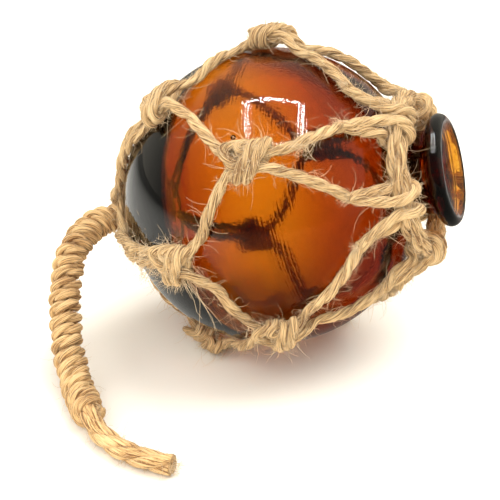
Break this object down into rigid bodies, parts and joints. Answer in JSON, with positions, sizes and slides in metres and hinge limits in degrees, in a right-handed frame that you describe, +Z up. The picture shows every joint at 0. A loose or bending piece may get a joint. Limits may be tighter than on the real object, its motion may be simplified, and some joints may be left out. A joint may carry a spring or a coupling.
{
  "type": "glass float ball",
  "caption": "Hollow blown glass float ball with an open flared neck, in a knotted jute net with a wrapped rope tail.",
  "frame": {"origin": "on the surface that the float lies on, below the middle of the ball and its net", "axes": "+Z up; +X the way the mouth points, seen from above, with the mouth's axis tilted up 13 degrees; -Y the side that shows in the picture"},
  "size_m": [0.1685, 0.1887, 0.1387],
  "materials": {
    "amber_glass": "clear blown glass, glossy",
    "jute_cord": "hairy twisted jute, matte",
    "jute_twine": "hairy twisted jute, matte"
  },
  "bodies": {
    "root": {"glass_ball": "amber_glass", "neck_ring_cord": "jute_cord", "pole_ring_cord": "jute_cord", "net_cord_1": "jute_cord", "net_cord_2": "jute_cord", "net_cord_3": "jute_cord", "net_cord_4": "jute_cord", "net_cord_5": "jute_cord", "tail_whipping": "jute_twine", "tail_rope_end": "jute_cord"}
  },
  "joints": []
}
